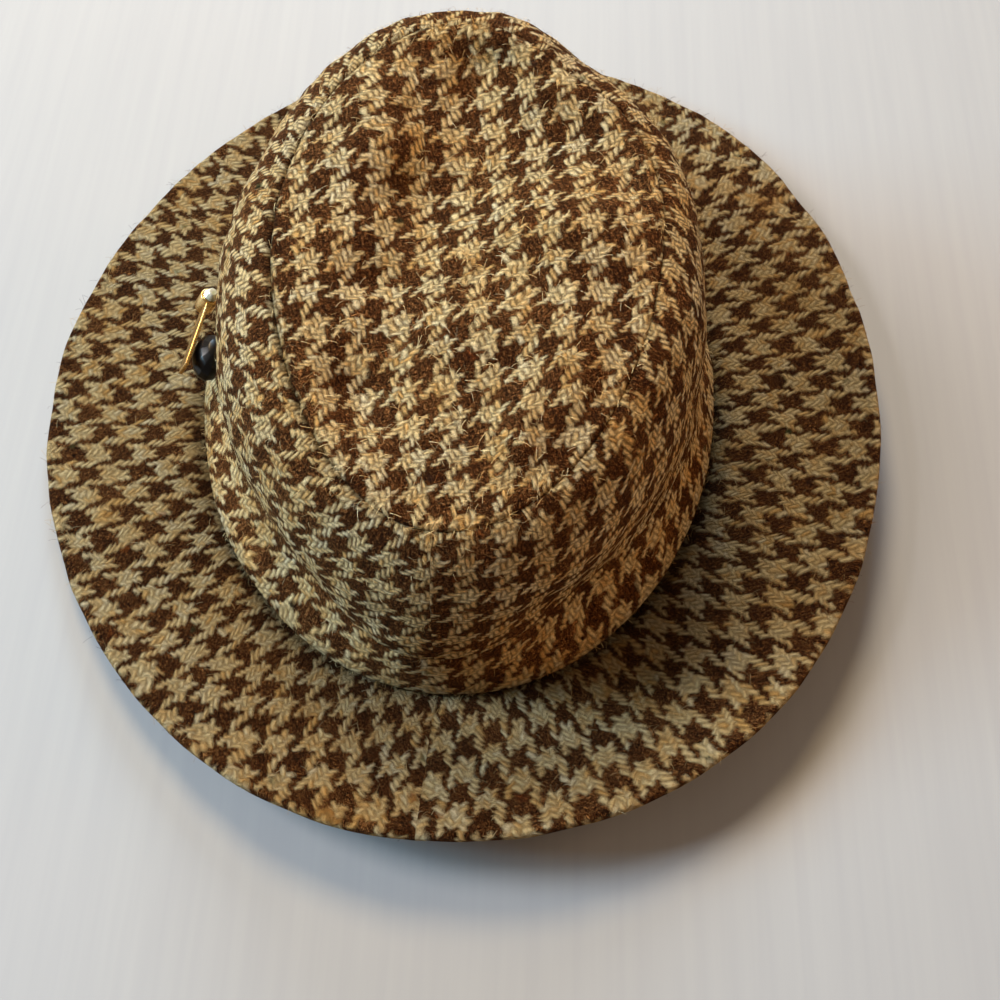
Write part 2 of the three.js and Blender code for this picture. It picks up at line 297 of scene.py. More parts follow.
def foot_outline(theta, outward):
    point = crown_side(theta, 0)
    along = crown_side(theta + ASIDE, 0) - crown_side(theta - ASIDE, 0)
    along.z = 0
    along.normalize()
    return Vector((point.x + along.y * outward, point.y - along.x * outward, point.z))


def brim_top(theta, out):
    """out is 0 at the crown's outer face and 1 at the edge; below 0 it lies under the crown."""
    rise = round_table(BRIM_DIRECTIONS, "rise", theta)
    reach = round_table(BRIM_DIRECTIONS, "reach", theta)
    level = math.sqrt(reach * reach - rise * rise)
    point = foot_outline(theta, out * level)
    z = foot_height(theta) + rise * max(out, 0) ** BRIM_CURL
    # the cloth settles on the surface without a crease; far above it the two forms are the same
    over = (z - BRIM_WALL) / BRIM_EASE
    point.z = BRIM_WALL + BRIM_EASE * (math.log1p(math.exp(over)) if over < 30 else over)
    return point


def band_level(height):
    """The crown's level at this height above its foot."""
    level = 0
    while along_table(CROWN_LEVELS, "side_z", level) - CROWN_LEVELS[0]["side_z"] < height:
        level += 0.002
    return level


def outward_normal(face, theta, across):
    low, high = max(across - NUDGE, 0), min(across + NUDGE, 1)
    around = face(theta + NUDGE, across) - face(theta - NUDGE, across)
    return around.cross(face(theta, high) - face(theta, low)).normalized()


def lumps(point, size, seed):
    """Slow unevenness of cloth that was shaped by hand, from about -1 to 1."""
    return noise.noise(point / size + Vector((seed, seed * 1.7, -seed)))


def uneven(point, rows, start=0):
    """Adds to start the height here of each row of lumps."""
    return sum((row["high"] * lumps(point, row["size"], row["seed"]) for row in rows), start)


def pucker(point):
    """The cloth's own unevenness from check to check."""
    return uneven(point, PUCKERS)


# ---------- making cloth ----------

def only(piece):
    bpy.ops.object.select_all(action="DESELECT")
    piece.select_set(True)
    bpy.context.view_layer.objects.active = piece


def settle(piece):
    """Puts the piece's place into its mesh, so that its object sits at the origin."""
    only(piece)
    bpy.ops.object.transform_apply(location=True, rotation=True, scale=True)


def add_alone(operator, **sizes):
    """Adds a primitive with nothing else selected."""
    bpy.ops.object.select_all(action="DESELECT")
    operator(**sizes)
    return bpy.context.object


EDGE_STEPS = 6  # points round a rolled edge


def section(rows, behind, wall, length, rolled):
    """The cloth's cross-section as (row, beyond, depth): over its face, then back behind.

    row runs from 0 to 1 over the face, beyond is how far a point lies past the face's end, and
    depth how far behind it. An edge is rolled over, or cut slanting where it is seamed to another.
    """
    radius = wall / 2
    first, last = (radius / length if roll else 0 for roll in rolled)
    line = [(mix(first, 1 - last, step / rows), 0, 0) for step in range(rows + 1)]
    turns = [math.pi * step / EDGE_STEPS for step in range(1, EDGE_STEPS)]
    if rolled[1]:
        line += [(1 - last, radius * math.sin(turn), radius * (1 - math.cos(turn)))
                 for turn in turns]
    ends = [end if roll else wall / length for end, roll in zip((first, last), rolled)]
    line += [(mix(1 - ends[1], ends[0], step / behind), 0, wall) for step in range(behind + 1)]
    if rolled[0]:
        line += [(first, -radius * math.sin(turn), radius * (1 + math.cos(turn))) for turn in turns]
    return line


HAIR_STEPS = 3  # faces along a hair
# half a hair's width, its length, how high it stands off, how it bends, and how far it strays
HAIR = {"wide": (0.03, 0.05), "long": (1.2, 3.6), "lift": (0.3, 1.1), "curl": (-0.8, 0.8),
        "astray": (-0.8, 0.8)}
HAIR_CLEAR = 0.1  # a hair leaves the cloth at this height
HAIR_ARCH = 2.4  # radians of a wave along a hair
# in half widths of a hair: how far to the side of its root it strays, and how far it bends
HAIR_ASIDE = 16
HAIR_BEND = 24


def comb_out(piece, roots, count, seed):
    """Adds loose wool hairs that stand off the cloth, as thin curved ribbons of its colour."""
    chance = random.Random(seed)
    hairs = add_alone(bpy.ops.mesh.primitive_grid_add, x_subdivisions=1,
                      y_subdivisions=HAIR_STEPS, size=1)
    rows = hairs.modifiers.new("hairs", "ARRAY")
    rows.count = count
    bpy.ops.object.modifier_apply(modifier=rows.name)
    mesh = hairs.data
    weave = mesh.uv_layers.active
    weave.name = "weave"
    corners = 2 * (HAIR_STEPS + 1)
    spots = []
    # the rings of the tip close in towards its middle, so fewer hairs are rooted there
    spread = [(root - HAT_SHIFT).xy.length for root, _, _ in roots]
    for number, (root, out, spot) in enumerate(chance.choices(roots, spread, k=count)):
        aside = Vector([chance.gauss(0, 1) for _ in range(3)])
        aside = (aside - out * aside.dot(out)).normalized()
        wide = out.cross(aside) * chance.uniform(*HAIR["wide"])
        root = root + aside * chance.uniform(*HAIR["astray"])
        root = root + wide * chance.uniform(-HAIR_ASIDE, HAIR_ASIDE)
        long, lift, curl = [chance.uniform(*HAIR[part]) for part in ("long", "lift", "curl")]
        for corner in range(corners):
            step, side = divmod(corner, 2)
            t = step / HAIR_STEPS
            up = HAIR_CLEAR + lift * math.sin(HAIR_ARCH * t)
            place = root + aside * (long * t) + out * up + wide * (HAIR_BEND * curl * t * t)
            mesh.vertices[number * corners + corner].co = (place + wide * (1 - 2 * side)) * MM
            spots.append(spot)
    for loop in mesh.loops:
        weave.data[loop.index].uv = spots[loop.vertex_index]
    piece.select_set(True)
    bpy.context.view_layer.objects.active = piece
    bpy.ops.object.join()


EDGE_WEAVE = 1.2  # millimetres of weave for each millimetre of depth round a rolled edge
FACE_DEPTH = 1  # what lies deeper is the hidden side, where no hair is rooted
MERGE = 0.00001  # in metres


def cloth_round(name, start, wall, rolled, place):
    """A ring of cloth with its section joined to itself; rolled says which of its two edges roll.

    place(theta, row) gives a point of the outer face, the way out of the cloth, the way on past the
    last row, the place in the weave, what a millimetre past the last row adds to that, and how deep
    in a crease the point lies, from 0 to 1, which sets the shade painted there. In millimetres.
    """
    fine = FINENESS[name]
    stations = fine["round"]
    line = section(fine["rows"], fine["behind"], wall, fine["length"], rolled)
    piece = add_alone(bpy.ops.mesh.primitive_grid_add, x_subdivisions=stations,
                      y_subdivisions=len(line), size=2)
    piece.name = name + "_cloth"
    mesh = piece.data
    mesh.name = piece.name
    creases = [0.0] * len(mesh.vertices)
    known = {}
    spots = []
    roots = []
    for vertex in mesh.vertices:
        theta = start + TURN * round((vertex.co.x + 1) / 2 * stations) / stations
        row, beyond, depth = line[round((vertex.co.y + 1) / 2 * len(line)) % len(line)]
        if (theta, row) not in known:
            known[theta, row] = place(theta, row)
        point, out, on, spot, step, creases[vertex.index] = known[theta, row]
        vertex.co = (point + on * beyond - out * depth + HAT_SHIFT) * MM
        turned = math.copysign(depth * EDGE_WEAVE, beyond) if beyond else 0
        spots.append((spot[0] + step[0] * turned, spot[1] + step[1] * turned))
        if depth < FACE_DEPTH:
            roots.append((vertex.co / MM, out, spots[-1]))
    # how deep in a crease each point lies, which sets the shade painted there
    mesh.attributes.new("crease", "FLOAT", "POINT").data.foreach_set("value", creases)
    weave = mesh.uv_layers.active
    weave.name = "weave"
    for loop in mesh.loops:
        weave.data[loop.index].uv = spots[loop.vertex_index]
    only(piece)
    bpy.ops.object.mode_set(mode="EDIT")
    bpy.ops.mesh.select_all(action="SELECT")
    bpy.ops.mesh.remove_doubles(threshold=MERGE)
    bpy.ops.object.mode_set(mode="OBJECT")
    bpy.ops.object.shade_smooth()
    comb_out(piece, roots, fine["hairs"], stations)
    return piece


def arc_reader(face, across, start, steps=720):
    """Reads the length round a ring from start."""
    points = [face(start + TURN * step / steps, across) for step in range(steps + 1)]
    lengths = [0.0]
    for a, b in zip(points, points[1:]):
        lengths.append(lengths[-1] + (b - a).length)

    def read(theta):
        place = (theta - start) / TURN * steps
        step = min(int(place), steps - 1)
        return mix(lengths[step], lengths[step + 1], place - step)

    return read


SEAM_ROUND = 2.2  # the cloth rolls into the top seam over this length
SEAM_DEPTH = 1.5
SEAM_OPEN = math.radians(215)  # the seam is drawn in most, and gapes, here
SEAM_UNEVEN = 0.4  # by this share more than its mean there, and less on the far side
SEAM_SHUT = 0.2  # how dark the painted shade is where it is pressed shut


def roll_in(distance, theta):
    """How far the cloth has rolled in towards a seam that lies this far away."""
    t = max(1 - distance / SEAM_ROUND, 0)
    return SEAM_DEPTH * (1 + SEAM_UNEVEN * math.cos(theta - SEAM_OPEN)) * t * t


def seam_crease(distance, theta):
    """How deep in the top seam a point lies, for its painted shade: it gapes on one side and is pressed
    shut elsewhere.
    """
    open_here = max(math.cos(theta - SEAM_OPEN), 0) ** 3
    gape = SEAM_SHUT + (1 - SEAM_SHUT) * open_here
    return gape * max(1 - distance / SEAM_ROUND, 0)


SHOULDER_SINK = Vector((4, 4, 5))  # inwards each way, and down
SHOULDER_REACH = 22.0  # it fades away over this length from the seam
SHOULDER_BACK = math.radians(278)


def sunk(theta, distance):
    """How the soft shoulder at the back of the crown has sunk in, this far from the top seam."""
    fall = max(math.cos(theta - SHOULDER_BACK), 0) * math.exp(-((distance / SHOULDER_REACH) ** 2))
    sink = SHOULDER_SINK
    return -fall * Vector((sink.x * math.cos(theta), sink.y * math.sin(theta), sink.z))


SIDE_GRAIN = math.radians(-7)
SIDE_STRETCH = 0.92  # the side was steamed taller
SIDE_FREE = (0.12, 0.4)  # between these levels the cloth comes free of the band's hold
SIDE_CALM = 12  # towards the top seam the lumps fade out over this length
COLUMN_STEPS = 24  # steps in which the length up the wall is measured
# the cloth that bags over the band's top edge: where it starts, is full, begins to fall and ends,
# along the wall from the crown's foot, and how far it stands out
BAG = {"start": 20.5, "full": 23.5, "fall": 25, "end": 46, "out": 1.9}


def make_crown_side():
    read = arc_reader(crown_side, 0.45, BRIM_SEAM)
    lengths = {}
    c, s = math.cos(SIDE_GRAIN), math.sin(SIDE_GRAIN)

    def place(theta, level):
        point = crown_side(theta, level)
        # length up the wall, for the weave
        if theta not in lengths:
            column = [crown_side(theta, step / COLUMN_STEPS) for step in range(COLUMN_STEPS + 1)]
            total = [0.0]
            for a, b in zip(column, column[1:]):
                total.append(total[-1] + (b - a).length)
            lengths[theta] = total
        total = lengths[theta]
        step = min(int(level * COLUMN_STEPS), COLUMN_STEPS - 1)
        up = mix(total[step], total[step + 1], level * COLUMN_STEPS - step)
        left = total[-1] - up
        out = outward_normal(crown_side, theta, level)
        soft = smoothstep(level, *SIDE_FREE) * uneven(point, SIDE_LUMPS)
        soft = soft * smoothstep(left, 0, SIDE_CALM) + pucker(point)
        bag = smoothstep(up, BAG["start"], BAG["full"])
        bag *= 1 - smoothstep(up, BAG["fall"], BAG["end"])
        soft += bag * uneven(point, BAG_LUMPS, BAG["out"])
        on = Vector((0, 0, 1)) - out * out.z
        around, high = read(theta), up * SIDE_STRETCH
        return point + sunk(theta, left) + out * (soft - roll_in(left, theta)), out, on, \
            (around * c + high * s, high * c - around * s), (s, c), seam_crease(left, theta)

    return cloth_round("crown_side", BRIM_SEAM, CLOTH_WALL, (True, False), place)


TIP_GRAIN = math.radians(9.5)
TIP_FROM = 0.009  # the seam's gap, as a share of the way from the seam to the tip's middle
TIP_CROWDING = 1.15  # the higher, the closer together its rings lie at the seam
TIP_CALM = (1, 14)  # between these distances from the seam the folds set in


def folds(point):
    total = 0
    for fold in TIP_FOLDS:
        across, along = (point.x - fold["x"]) / fold["wide"], (point.y - fold["y"]) / fold["long"]
        total += fold["high"] * math.exp(-across * across - along * along)
    return total


def make_crown_tip():
    c, s = math.cos(TIP_GRAIN), math.sin(TIP_GRAIN)

    def place(theta, row):
        share = mix(TIP_FROM, 1, row ** TIP_CROWDING)
        point = crown_tip(theta, share)
        rim = crown_side(theta, 1)
        left = (rim - point).length
        out = outward_normal(crown_tip, theta, min(share, 0.99))
        soft = smoothstep(left, *TIP_CALM) * uneven(point, TIP_LUMPS, folds(point)) + pucker(point)
        return point + sunk(theta, left) + out * (soft - roll_in(left, theta)), out, out, \
            (point.x * c + point.y * s, point.y * c - point.x * s), (0, 0), seam_crease(left, theta)

    return cloth_round("crown_tip", 0, CLOTH_WALL, (False, False), place)


# how the brim's weave lies: the turn of its warp and its weft off the brim's run, and how many
# millimetres a check takes up each way, for the cloth was cut on the bias and drawn round
BRIM_WEAVE = ({"turn": math.radians(30), "check": 10.3}, {"turn": math.radians(122), "check": 12.4})
BRIM_WIDTH = 56.5  # its mean width
BRIM_TUCK = 55.0  # the width that its inner edge's tuck under the crown is a share of
BRIM_FREE = (2, 20)  # between these widths the cloth comes free of the crown's hold
BRIM_WAVY = (30, 56)  # between these its edge begins to wander in and out
# the groove of its own seam, across the seam, whose place is measured at this radius
BRIM_SEAM_GROOVE = {"radius": 105, "wide": 1.2, "deep": 0.7}
# grooves that run round it: one where the crown's seam pulls on it, and one drawn in by stitches
BRIM_GROOVES = [
    {"out": 3.5, "wide": 3, "deep": 1.3},
    {"out": 51.5, "wide": 1.3, "deep": 0.5},
]
FOOT_GLOOM = {"deep": 0.85, "wide": 7.5}  # painted shade at the crown's foot: how dark it is there, and how far out it reaches


def make_brim():
    read = arc_reader(brim_top, 0.5, BRIM_SEAM)
    grain = [(math.cos(way["turn"]) * check / way["check"],
              -math.sin(way["turn"]) * check / way["check"])
             for way, check in zip(BRIM_WEAVE, CHECK)]
    inner = -CLOTH_WALL / BRIM_TUCK

    def place(theta, row):
        reach = mix(1, inner, row)
        point = brim_top(theta, reach)
        level = reach * BRIM_WIDTH
        on = (brim_top(theta, reach - 0.02) - point).normalized()
        around = Vector((-math.sin(theta), math.cos(theta), 0))
        out = around.cross(on).normalized()
        soft = smoothstep(level, *BRIM_FREE) * (uneven(point, BRIM_LUMPS) + pucker(point))
        seam, groove = (theta - BRIM_SEAM + math.pi) % TURN - math.pi, BRIM_SEAM_GROOVE
        soft -= groove["deep"] * math.exp(-((seam * groove["radius"] / groove["wide"]) ** 2))
        for groove in BRIM_GROOVES:
            soft -= groove["deep"] * math.exp(-(((level - groove["out"]) / groove["wide"]) ** 2))
        wave = uneven(point, BRIM_EDGE_LUMPS) * smoothstep(level, *BRIM_WAVY)
        run = read(theta)
        spot = [along * run + outward * level for along, outward in grain]
        crease = FOOT_GLOOM["deep"] * math.exp(-((level / FOOT_GLOOM["wide"]) ** 2))
        inwards = [-outward for _, outward in grain]
        return point + Vector((0, 0, soft)) - on * wave, out, on, spot, inwards, crease

    piece = cloth_round("brim", BRIM_SEAM, BRIM_WALL, (True, True), place)
    for vertex in piece.data.vertices:
        vertex.co.z = max(vertex.co.z, 0)
    return piece


BAND_ROWS = 100  # steps in which the crown's level is read off for the band
BAND_LOOSE = 1.6  # the soft band flares this much more than the plain solid does
BAND_GLOOM = 0.35  # how dark the shade painted on its lower edge is


def make_band():
    rows = BAND_ROWS
    levels = [band_level(BAND_CLEAR + step / rows * BAND_HEIGHT) for step in range(rows + 1)]
    read = arc_reader(crown_side, 0.15, BAND_SEAM)

    def place(theta, row):
        at = row * rows
        step = min(int(at), rows - 1)
        level = mix(levels[step], levels[step + 1], at - step)
        wall = crown_side(theta, level)
        out = outward_normal(crown_side, theta, level)
        flare = BAND_LOOSE * BAND_FLARE * (1 - row) ** 2
        soft = uneven(wall, BAND_LUMPS)
        on = (Vector((0, 0, 1)) - out * out.z).normalized()
        point = wall + out * (BAND_GAP + BAND_WALL + flare + soft)
        return point, out, on, (read(theta), row * BAND_HEIGHT), (0, 1), BAND_GLOOM * (1 - row) ** 6

    return cloth_round("hat_band", BAND_SEAM, BAND_WALL, (True, True), place)


# ---------- the ornament ----------

# front: how far the stone's middle lies before the ornament's own place
STONE = {"deep": 10.5, "long": 16.5, "tall": 14, "front": 3}
BAR = {"thick": 1.3, "tall": 7, "back": 4, "front": -25.5, "turn": -11, "stand": 1.3}
BAR_LAP = 0.4  # the bar runs this far into its setting
PIN_GAP = 0.6  # between the band and the stone
PIN_ANGLE = math.radians(184)
PIN_UP = 0.75  # share of the band's height
SETTING_RADIUS = 3.2
CRYSTAL = {"radius": 2.7, "height": 2.6, "top": 0.55}  # top: the share of its width left there


def shape(piece, frame, place, sizes):
    """Gives a unit primitive its sizes and its place in a frame, in millimetres."""
    piece.matrix_world = (frame @ Matrix.Translation(Vector(place) * MM)
                          @ Matrix.Diagonal(Vector((*sizes, 1000)) * MM))
    settle(piece)


def ease_edges(piece, name, width, segments, angle=None):
    """Rounds the edges sharper than the angle, in degrees, or than the modifier's own limit."""
    bevel = piece.modifiers.new(name, "BEVEL")
    bevel.width = width * MM
    bevel.segments = segments
    if angle:
        bevel.limit_method = "ANGLE"
        bevel.angle_limit = math.radians(angle)
    bpy.ops.object.modifier_apply(modifier=bevel.name)


def pin_frame():
    """The ornament's own frame on the band: X out of the hat, Y along it to the back, Z up."""
    level = band_level(BAND_CLEAR + PIN_UP * BAND_HEIGHT)
    out = outward_normal(crown_side, PIN_ANGLE, level)
    flare = BAND_FLARE * (1 - PIN_UP) ** 2
    seat = crown_side(PIN_ANGLE, level) + out * (BAND_GAP + BAND_WALL + flare) + HAT_SHIFT
    back = Vector((0, 0, 1)).cross(out).normalized()
    up = out.cross(back)
    turned = Matrix((out, back, up)).transposed().to_4x4()
    return Matrix.Translation(seat * MM) @ turned


def make_stone(pin):
    stone = add_alone(bpy.ops.mesh.primitive_uv_sphere_add, segments=12, ring_count=7, radius=0.5)
    stone.name = "stone_cut"
    place = (PIN_GAP + STONE["deep"] / 2, -STONE["front"], 0)
    shape(stone, pin, place, (STONE["deep"], STONE["long"], STONE["tall"]))
    ease_edges(stone, "worn edges", 0.25, 2, 12)
    bpy.ops.object.shade_smooth_by_angle(angle=math.radians(14))
    return stone


def bar_frame(pin):
    out = PIN_GAP + STONE["deep"] + BAR["stand"] + BAR["thick"] / 2
    return (pin @ Matrix.Translation(Vector((out, 0, 0)) * MM)
            @ Matrix.Rotation(math.radians(BAR["turn"]), 4, "Z"))


def make_bar(pin):
    frame_of_bar = bar_frame(pin)
    bar = add_alone(bpy.ops.mesh.primitive_cube_add, size=1)
    bar.name = "clasp_bar"
    long = BAR["back"] - BAR["front"] - SETTING_RADIUS + BAR_LAP
    shape(bar, frame_of_bar, (0, BAR["back"] - long / 2, 0), (BAR["thick"], long, BAR["tall"]))
    cup = add_alone(bpy.ops.mesh.primitive_cylinder_add, vertices=40, radius=1, depth=1)
    shape(cup, frame_of_bar, (0, BAR["front"], 0), (SETTING_RADIUS, SETTING_RADIUS, BAR["tall"]))
    bar.select_set(True)
    bpy.context.view_layer.objects.active = bar
    bpy.ops.object.join()
    ease_edges(bar, "polished edges", 0.35, 3, 40)
    bpy.ops.object.shade_smooth_by_angle(angle=math.radians(35))
    return bar


def make_crystal(pin):
    crystal = add_alone(bpy.ops.mesh.primitive_cone_add, vertices=10, radius1=1,
                        radius2=CRYSTAL["top"], depth=1)
    crystal.name = "crystal_cut"
    high = BAR["tall"] / 2 + SEAM_GAP + CRYSTAL["height"] / 2
    sizes = (CRYSTAL["radius"], CRYSTAL["radius"], CRYSTAL["height"])
    shape(crystal, bar_frame(pin), (0, BAR["front"], high), sizes)
    ease_edges(crystal, "facets", 0.3, 1)
    bpy.ops.object.shade_flat()
    return crystal


# ---------- materials ----------

def linear(hex_colour):
    """An sRGB hex colour as the linear values that shaders use."""
    values = [int(hex_colour[i:i + 2], 16) / 255 for i in (1, 3, 5)]
    return (*[v / 12.92 if v <= 0.04045 else ((v + 0.055) / 1.055) ** 2.4 for v in values], 1)


def add(tree, kind, inputs=None, stops=(), **settings):
    """Adds a node with its settings and links, and returns its outputs.

    An input is a value or another node's output; stops are a colour band's (place, hex) pairs.
    """
    node = tree.nodes.new("ShaderNode" + kind)
    for name, value in settings.items():
        setattr(node, name, value)
    for _ in stops[2:]:
        node.color_ramp.elements.new(0.5)
    for number, (place, colour) in enumerate(stops):
        node.color_ramp.elements[number].position = place
        node.color_ramp.elements[number].color = linear(colour)
    for socket, value in (inputs or {}).items():
        if isinstance(value, bpy.types.NodeSocket):
            tree.links.new(value, node.inputs[socket])
        else:
            node.inputs[socket].default_value = value
    return node.outputs


def new_material(name):
    material = bpy.data.materials.new(name)
    material.use_nodes = True
    material.node_tree.nodes.clear()
    return material, material.node_tree


# the light yarn's share of a check across the warp and across the weft, for it is the bulkier one
LIGHT_SHARE = (0.54, 0.48)
YARN_DRIFT = 4.0  # millimetres by which the yarns wander slowly, and the two finer ways they do
YARN_WANDER = 1.2
YARN_FRAY = (0.5, 1.3)  # for limp cloth and for crisp
CREAM_DYE = [(0.0, "#FFF1CA"), (0.4, "#FFE4A9"), (0.75, "#F2BF74"), (1.0, "#B0732F")]
BROWN_DYE = [(0.0, "#0A0301"), (0.3, "#240F05"), (0.6, "#66391A"), (1.0, "#DEA263")]
SLUB_DYES = [(0.0, "#B9662B"), (0.35, "#86401E"), (0.55, "#1B7048"), (0.8, "#12151F")]
CREASE_TONE = 0.12  # the share of its tone that the cloth keeps deep in a crease, where shade is painted


def tweed(name, seed, reach, crisp=1.0, nap=0.2, tone=1.0):
    """Wool tweed, yarn-dyed and woven in a two-and-two twill whose warp reaches over its weft.

    It gives the eye plump cream yarns about 1.5 mm wide that step across each other in slanting
    floats, beside fuzzy brown ones, with rust, green and navy slubs, a matt face and loose hairs.
    The less crisp it is, the more its nap closes over the gaps; the nap is the reach of its fibres
    in millimetres. The seed sets its shades, reach is how far the warp's floats pass over the
    weft's, and tone darkens it all, as painted shade.
    """
    material, t = new_material(name)

    def shifted(spot, pattern, by):
        """The place, moved each way by up to half of by millimetres, as the pattern says."""
        off = add(t, "VectorMath", {0: pattern, 1: (0.5, 0.5, 0.5)}, operation="SUBTRACT")[0]
        return add(t, "VectorMath", {0: off, 1: (by, by, 0), 2: spot}, operation="MULTIPLY_ADD")[0]

    spot = add(t, "UVMap", uv_map="weave")["UV"]
    # the yarns wander
    drift = add(t, "TexNoise", {"Vector": spot, "Scale": 0.085, "Detail": 1.0},
                noise_dimensions="2D")["Color"]
    flat = shifted(spot, drift, YARN_DRIFT)
    fine = add(t, "TexNoise", {"Vector": flat, "Scale": 0.42, "Detail": 2.0},
               noise_dimensions="2D")["Color"]
    spot = shifted(flat, fine, YARN_WANDER)
    # and their edges are frayed
    fray = add(t, "TexNoise", {"Vector": flat, "Scale": 2.2, "Detail": 3.0, "Roughness": 0.75},
               noise_dimensions="2D")["Color"]
    spot = shifted(spot, fray, mix(*YARN_FRAY, crisp))

    def lay(spot):
        """The weave here: its check, its yarn's number and colour, and the float's own form."""
        checks = add(t, "VectorMath", {0: spot, 1: (1 / CHECK[0], 1 / CHECK[1], 0)},
                     operation="MULTIPLY")[0]
        both = add(t, "SeparateXYZ", {0: checks})

        def yarns(place, share):
            """The count of yarns here, and the yarn in its check, the way across it and its dye."""
            check = add(t, "Math", {0: place}, operation="FLOOR")[0]
            rest = add(t, "Math", {0: place}, operation="FRACT")[0]
            light = add(t, "MapRange", {"Value": rest, 2: share, 4: 4.0})[0]
            dark = add(t, "MapRange", {"Value": rest, 1: share, 4: 4.0})[0]
            count = add(t, "Math", {0: light, 1: dark}, operation="ADD")[0]
            whole = add(t, "Math", {0: count}, operation="FLOOR")[0]
            part = add(t, "Math", {0: count}, operation="FRACT")[0]
            number = add(t, "Math", {0: check, 1: 8.0, 2: whole}, operation="MULTIPLY_ADD")[0]
            is_light = add(t, "Math", {0: whole, 1: 3.5}, operation="LESS_THAN")[0]
            return count, whole, part, number, is_light

        warp_count, warp, warp_part, warp_number, warp_light = yarns(both[0], LIGHT_SHARE[0])
        weft_count, weft, weft_part, weft_number, weft_light = yarns(both[1], LIGHT_SHARE[1])

        # along each float and across it from 0 to 1; the warp's floats reach over the weft's
        warp_run = add(t, "Math", {0: weft_count, 1: warp}, operation="SUBTRACT")[0]
        warp_run = add(t, "Math", {0: warp_run, 1: reach}, operation="ADD")[0]
        warp_run = add(t, "Math", {0: warp_run, 1: 4.0}, operation="FLOORED_MODULO")[0]
        warp_run = add(t, "Math", {0: warp_run, 1: 2 + 2 * reach}, operation="DIVIDE")[0]
        warp_up = add(t, "Math", {0: warp_run, 1: 1.0}, operation="LESS_THAN")[0]
        weft_run = add(t, "Math", {0: warp_count, 1: weft}, operation="SUBTRACT")[0]
        weft_run = add(t, "Math", {0: weft_run, 1: 1.0}, operation="SUBTRACT")[0]
        weft_run = add(t, "Math", {0: weft_run, 1: 4.0}, operation="FLOORED_MODULO")[0]
        weft_run = add(t, "Math", {0: weft_run, 1: 0.5}, operation="MULTIPLY")[0]
        run = add(t, "Mix", {0: warp_up, 2: weft_run, 3: warp_run})[0]
        run = add(t, "Clamp", {0: run})[0]
        across = add(t, "Mix", {0: warp_up, 2: weft_part, 3: warp_part})[0]
        lean = add(t, "MapRange", {"Value": warp_up, 3: -0.3, 4: 0.3})[0]
        from_middle = add(t, "Math", {0: run, 1: 0.5}, operation="SUBTRACT")[0]
        across = add(t, "Math", {0: lean, 1: from_middle, 2: across}, operation="MULTIPLY_ADD")[0]

        # a float stands up like a grain of rice
        side = add(t, "Math", {0: across, 1: 2.3, 2: -1.15}, operation="MULTIPLY_ADD")[0]
        side = add(t, "Math", {0: side, 1: side}, operation="MULTIPLY")[0]
        side = add(t, "Math", {0: 1.0, 1: side}, operation="SUBTRACT", use_clamp=True)[0]
        end = add(t, "Math", {0: run, 1: math.pi}, operation="MULTIPLY")[0]
        end = add(t, "Math", {0: end}, operation="SINE")[0]
        grain = add(t, "Math", {0: side, 1: end}, operation="MULTIPLY", use_clamp=True)[0]
        grain = add(t, "Math", {0: grain, 1: 0.85}, operation="POWER")[0]

        # two plies twisted together
        ply = add(t, "Math", {0: run, 1: 2.6, 2: across}, operation="MULTIPLY_ADD")[0]
        ply = add(t, "Math", {0: ply, 1: TURN}, operation="MULTIPLY")[0]
        ply = add(t, "Math", {0: ply}, operation="SINE")[0]

        number = add(t, "Mix", {0: warp_up, 2: weft_number, 3: warp_number})[0]
        number = add(t, "Math", {0: warp_up, 1: 517.0, 2: number}, operation="MULTIPLY_ADD")[0]
        is_light = add(t, "Mix", {0: warp_up, 2: weft_light, 3: warp_light})[0]
        return checks, number, is_light, warp_up, grain, ply

    # fibres too fine to tell apart carry each colour over its edge
    fibre = add(t, "TexWhiteNoise", {"Vector": spot}, noise_dimensions="2D")["Color"]
    checks, number, is_light, warp_up, grain, ply = lay(shifted(spot, fibre, 2 * nap))

    # fluff, and loose hairs that curl over the yarns
    hair = add(t, "TexNoise", {"Vector": flat, "Scale": 1.9, "Detail": 3.0, "Roughness": 0.7,
                               "Distortion": 1.2}, noise_dimensions="2D")["Fac"]
    fluff = add(t, "MapRange", {"Value": hair, 1: 0.3, 2: 0.72})[0]
    curls = add(t, "TexNoise", {"Vector": flat, "Scale": 0.8, "Detail": 1.0, "Distortion": 2.5},
                noise_dimensions="2D")["Fac"]
    curls = add(t, "Math", {0: curls, 1: 9.0}, operation="MULTIPLY")[0]
    curls = add(t, "Math", {0: curls, 1: 1.0}, operation="PINGPONG")[0]
    curls = add(t, "MapRange", {"Value": curls, 1: 0.18, 2: 0.0})[0]
    curls = add(t, "Math", {0: curls, 1: fluff}, operation="MULTIPLY")[0]

